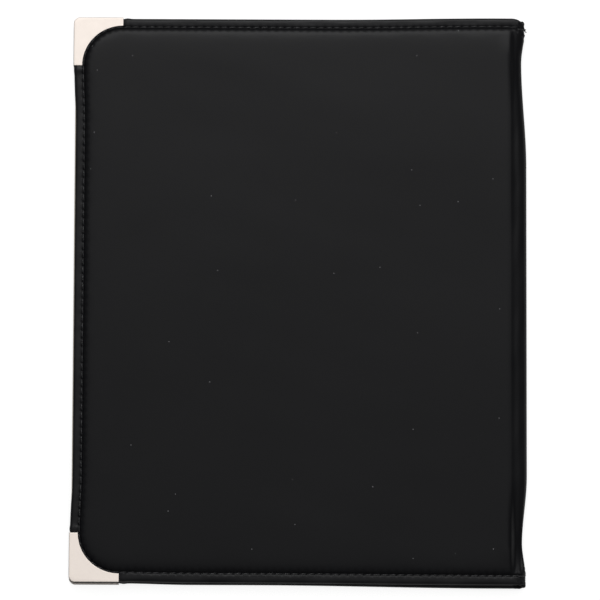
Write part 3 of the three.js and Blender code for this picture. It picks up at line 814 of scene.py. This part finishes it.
# Name, layer it lies on, then lift off it, stitch length, thread width and depth of the dive in mm.
THREADS = (("needle", "face", -0.08, 4.1, 0.62, 0.75), ("bobbin", "hem", 0.04, 4.1, 0.55, 0.55))
for cover in ("front", "back"):
    for name, layer, lift, length, width, dive in THREADS:
        extra = 1 if cover == "back" else 0
        path, along, above = seam_path(layer, lift, -2 - extra, last_stitch + 1)
        path = out_of_true(path, cover == "back")
        if cover == "back":
            path = path * [1, 1, -1] + [0, 0, 2 * middle]
            along, above = along * [1, 1, -1], above * [1, 1, -1]
        line = bpy.data.meshes.new(f"{cover}_{name}_stitches")
        line.from_pydata(path * 0.001, [], [])
        for attribute, values in (("along", along), ("above", above)):
            made = line.attributes.new(attribute, "FLOAT_VECTOR", "POINT")
            made.data.foreach_set("vector", values.astype(np.float32).ravel())
        seam = bpy.data.objects.new(line.name, line)
        bpy.context.collection.objects.link(seam)
        sewing = seam.modifiers.new("sewing", "NODES")
        sewing.node_group = lockstitch
        for socket, value in (("Stitch length", length * 0.001), ("Thread width", width * 0.001),
                              ("Dive", dive * 0.001), ("Slant", 0.16), ("Finish", black_thread)):
            sewing[thread_ids[socket]] = value
        finished(seam)
        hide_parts(f"{cover}_{name}_thread", f"spine_{name}_thread_top",
                    f"spine_{name}_thread_bottom")
        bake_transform(seam)

# Lining: a dark woven cloth glued over the inside of each board and round the inside of the spine,
# with its edges under the turned-in skin.
cloth = Finish("lining_weave")
place = cloth.node("ShaderNodeTexCoord", output="Object")
warp = cloth.node("ShaderNodeTexWave", {"wave_type": "BANDS", "bands_direction": "X"},
                  {"Vector": place, "Scale": 640, "Distortion": 0.4})
weft = cloth.node("ShaderNodeTexWave", {"wave_type": "BANDS", "bands_direction": "Y"},
                  {"Vector": place, "Scale": 560, "Distortion": 0.4})
slub = cloth.node("ShaderNodeMapping", None, {"Vector": place, "Scale": (30, 900, 200)})
slubs = cloth.noise(slub, 1, 3, 0.6)
weave = warp * weft
bump = cloth.node("ShaderNodeBump", None, {"Strength": 0.4, "Distance": 0.0001, "Height": weave + slubs * 0.5})
woven = cloth.mix(weave * 0.6 + slubs * 0.4, (0.006, 0.006, 0.0066, 1), (0.020, 0.020, 0.022, 1))
lining_weave = cloth.end(cloth.node("ShaderNodeBsdfPrincipled", None, {
    "Base Color": woven, "Roughness": slubs * 0.2 + 0.62, "Normal": bump, "Sheen Weight": 0.1}))

lining_inset, lining_bottom, lining_end = 1.7, 4.3, 160.1
turn_x, deeper = 119.3, 0.9


def layer_grid(xs_z, ys, x_flat, z_out, z_in):
    """A closed sheet on a grid. Each row of xs_z gives the spine part's outer and inner line."""
    points, faces = [], []
    for side in (0, 1):
        for y, lines in zip(ys, xs_z):
            x, z = lines[side]
            points.append(np.column_stack([np.append(x_flat, x), np.full(len(x_flat) + len(x), y),
                                           np.append(np.full(len(x_flat), (z_out, z_in)[side]), z)]))
    rows, columns = len(ys), len(points[0])
    at = lambda side, i, j: (side * rows + i) * columns + j
    for i in range(rows - 1):
        for j in range(columns - 1):
            faces.append([at(0, i, j), at(0, i, j + 1), at(0, i + 1, j + 1), at(0, i + 1, j)])
            faces.append([at(1, i, j), at(1, i + 1, j), at(1, i + 1, j + 1), at(1, i, j + 1)])
    for i in range(rows - 1):
        for j in (0, columns - 1):
            faces.append([at(0, i, j), at(0, i + 1, j), at(1, i + 1, j), at(1, i, j)])
    for j in range(columns - 1):
        for i in (0, rows - 1):
            faces.append([at(0, i, j), at(1, i, j), at(1, i, j + 1), at(0, i, j + 1)])
    return np.concatenate(points), faces


lining_y = np.concatenate([[-lining_end], np.linspace(-156, 156, 105), [lining_end]])
lining_x = np.linspace(fore_fold + lining_inset, board_edge - 1, 60)
lines = [(round_spine(y, 0.7, lining_bottom, 119.05), round_spine(y, 1.1, lining_top, 119.45))
         for y in lining_y]
lining_points, lining_faces = layer_grid(lines, lining_y, lining_x, lining_bottom, lining_top)
past = lining_points[:, 0] > turn_x
sag = sunk(lining_points[:, 0] + deeper, lining_points[:, 1]) * (middle - lining_points[:, 2]) / middle
lining_points[:, 2] += np.where(past, sag, 0)
lining_points[:, 2] += np.where(past, 0, 0.03 * uneven(21, 30, lining_points[:, 0], lining_points[:, 1]))
for cover in ("front", "back"):
    lining = add_piece(f"{cover}_cloth_lining", lining_points, lining_faces, lining_weave, 50, None,
                       cover == "back")
    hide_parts(f"{cover}_lining", f"{cover}_hinge_lining", "spine_lining")
    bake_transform(lining)

# Pocket: a sheet of thinner, smoother vinyl inside each cover, with a folded mouth, held under its
# own weight at the outer edges and welded to the lining beside the spine.
sleeve = Finish("pocket_vinyl")
place = sleeve.node("ShaderNodeTexCoord", output="Object")
fine = sleeve.noise(place, 1500, 3)
patch = sleeve.noise(place, 18, 3, 0.6)
bump = sleeve.node("ShaderNodeBump", None, {"Strength": 0.2, "Distance": 0.0001, "Height": fine + patch * 3})
tone = sleeve.mix(patch, (0.006, 0.006, 0.0066, 1), (0.0095, 0.0095, 0.0103, 1))
pocket_vinyl = sleeve.end(sleeve.node("ShaderNodeBsdfPrincipled", None, {
    "Base Color": tone, "Roughness": patch * 0.15 + 0.42, "Specular IOR Level": 0.35, "Normal": bump}))

pocket_left, pocket_right, pocket_low, pocket_mouth = fore_fold + 5.8, 112.95, -156.0, -9.8
pocket_round, pocket_over, weld_start, ramp_start = 21.7, 5.8, 108.95, 105.95
pocket_thick, pocket_welded = 0.45, 0.5


def pocket_grid():
    """A closed sheet on a grid that is drawn in to the round corner by the fore-edge's foot."""
    x = np.concatenate([np.linspace(pocket_left, ramp_start, 76),
                        np.linspace(ramp_start, weld_start, 5)[1:],
                        np.linspace(weld_start, pocket_right, 6)[1:]])
    y = np.concatenate([np.linspace(pocket_low, pocket_mouth - 12, 45),
                        [-19, -16.4, -15.8, -15.2, -13, -11, -10.2, pocket_mouth]])
    inner_x, inner_y = pocket_left + pocket_round, pocket_low + pocket_round
    gx, gy = np.meshgrid(x, y)
    u, v = np.maximum(inner_x - gx, 0), np.maximum(inner_y - gy, 0)
    both = (u > 0) & (v > 0)
    big = np.maximum(u, v)
    far = np.where(both, np.hypot(u, v), 1)
    gx = np.where(both, inner_x - u * big / far, gx)
    gy = np.where(both, inner_y - v * big / far, gy)
    ramp = rise(gx, ramp_start, weld_start)
    top = pocket_over - ramp * (pocket_over - lining_top - pocket_welded)
    swell = 0.10 * uneven(23, 45, gx, gy)
    swell = swell * rise(gx, pocket_left, pocket_left + 20) * (1 - rise(gx, 90, 104))
    swell = swell * rise(gy, pocket_low + 8, pocket_low + 30) - 0.02
    mouth_hem = 0.04 * bell(gy, -12.5, 2.2) - 0.08 * bell(gy, -15.8, 0.35)
    weld = -0.10 * np.abs(np.sin(gy * math.pi / 1.6)) * bell(gx, 110.9, 1.2)
    top = top + np.minimum(swell, 0.0) + mouth_hem + weld
    under = top - pocket_thick
    rows, columns = gx.shape
    points = np.concatenate([np.column_stack([gx.ravel(), gy.ravel(), z.ravel()]) for z in (under, top)])
    faces = []
    at = lambda s, i, j: s * rows * columns + i * columns + j
    for i in range(rows - 1):
        for j in range(columns - 1):
            faces.append([at(1, i, j), at(1, i, j + 1), at(1, i + 1, j + 1), at(1, i + 1, j)])
            faces.append([at(0, i, j), at(0, i + 1, j), at(0, i + 1, j + 1), at(0, i, j + 1)])
    for i in range(rows - 1):
        for j in (0, columns - 1):
            faces.append([at(0, i, j), at(1, i, j), at(1, i + 1, j), at(0, i + 1, j)])
    for j in range(columns - 1):
        for i in (0, rows - 1):
            faces.append([at(0, i, j), at(0, i, j + 1), at(1, i, j + 1), at(1, i, j)])
    return points, faces


pocket_points, pocket_faces = pocket_grid()
pocket_area = (pocket_right - pocket_left) * (pocket_mouth - pocket_low)
pocket_area = (pocket_area - (1 - math.pi / 4) * pocket_round ** 2) * 1e-6
for cover in ("front", "back"):
    pocket = add_piece(f"{cover}_inner_pocket", pocket_points, pocket_faces, pocket_vinyl, 40, None,
                       cover == "back")
    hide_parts(f"{cover}_pocket")
    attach(pocket, f"{cover}_cover")

# Core of each cover: a sheet of soft foam on a stiff grey board, both wholly inside the skin and
# seen only if the skin is left off.
pulp = Finish("grey_board")
place = pulp.node("ShaderNodeTexCoord", output="Object")
laid = pulp.node("ShaderNodeMapping", None, {"Vector": place, "Scale": (900, 500, 2500)})
fibre = pulp.noise(laid, 1, 4, 0.6)
bump = pulp.node("ShaderNodeBump", None, {"Strength": 0.3, "Distance": 0.0001, "Height": fibre})
grey_board = pulp.end(pulp.node("ShaderNodeBsdfPrincipled", None, {
    "Base Color": pulp.mix(fibre, (0.20, 0.18, 0.155, 1), (0.34, 0.31, 0.27, 1)),
    "Roughness": fibre * 0.1 + 0.82, "Normal": bump}))
pad = Finish("soft_foam")
place = pad.node("ShaderNodeTexCoord", output="Object")
cells = pad.node("ShaderNodeTexVoronoi", None, {"Vector": place, "Scale": 2200})
bump = pad.node("ShaderNodeBump", None, {"Strength": 0.6, "Distance": 0.0002, "Height": cells})
soft_foam = pad.end(pad.node("ShaderNodeBsdfPrincipled", None, {
    "Base Color": pad.mix(cells, (0.20, 0.20, 0.21, 1), (0.32, 0.32, 0.33, 1)),
    "Roughness": cells * 0.05 + 0.9, "Normal": bump}))
for cover in ("front", "back"):
    for node, material in (("board", grey_board), ("foam", soft_foam)):
        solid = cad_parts[f"{cover}_{node}"]
        for slot in solid.material_slots:
            slot.material = material
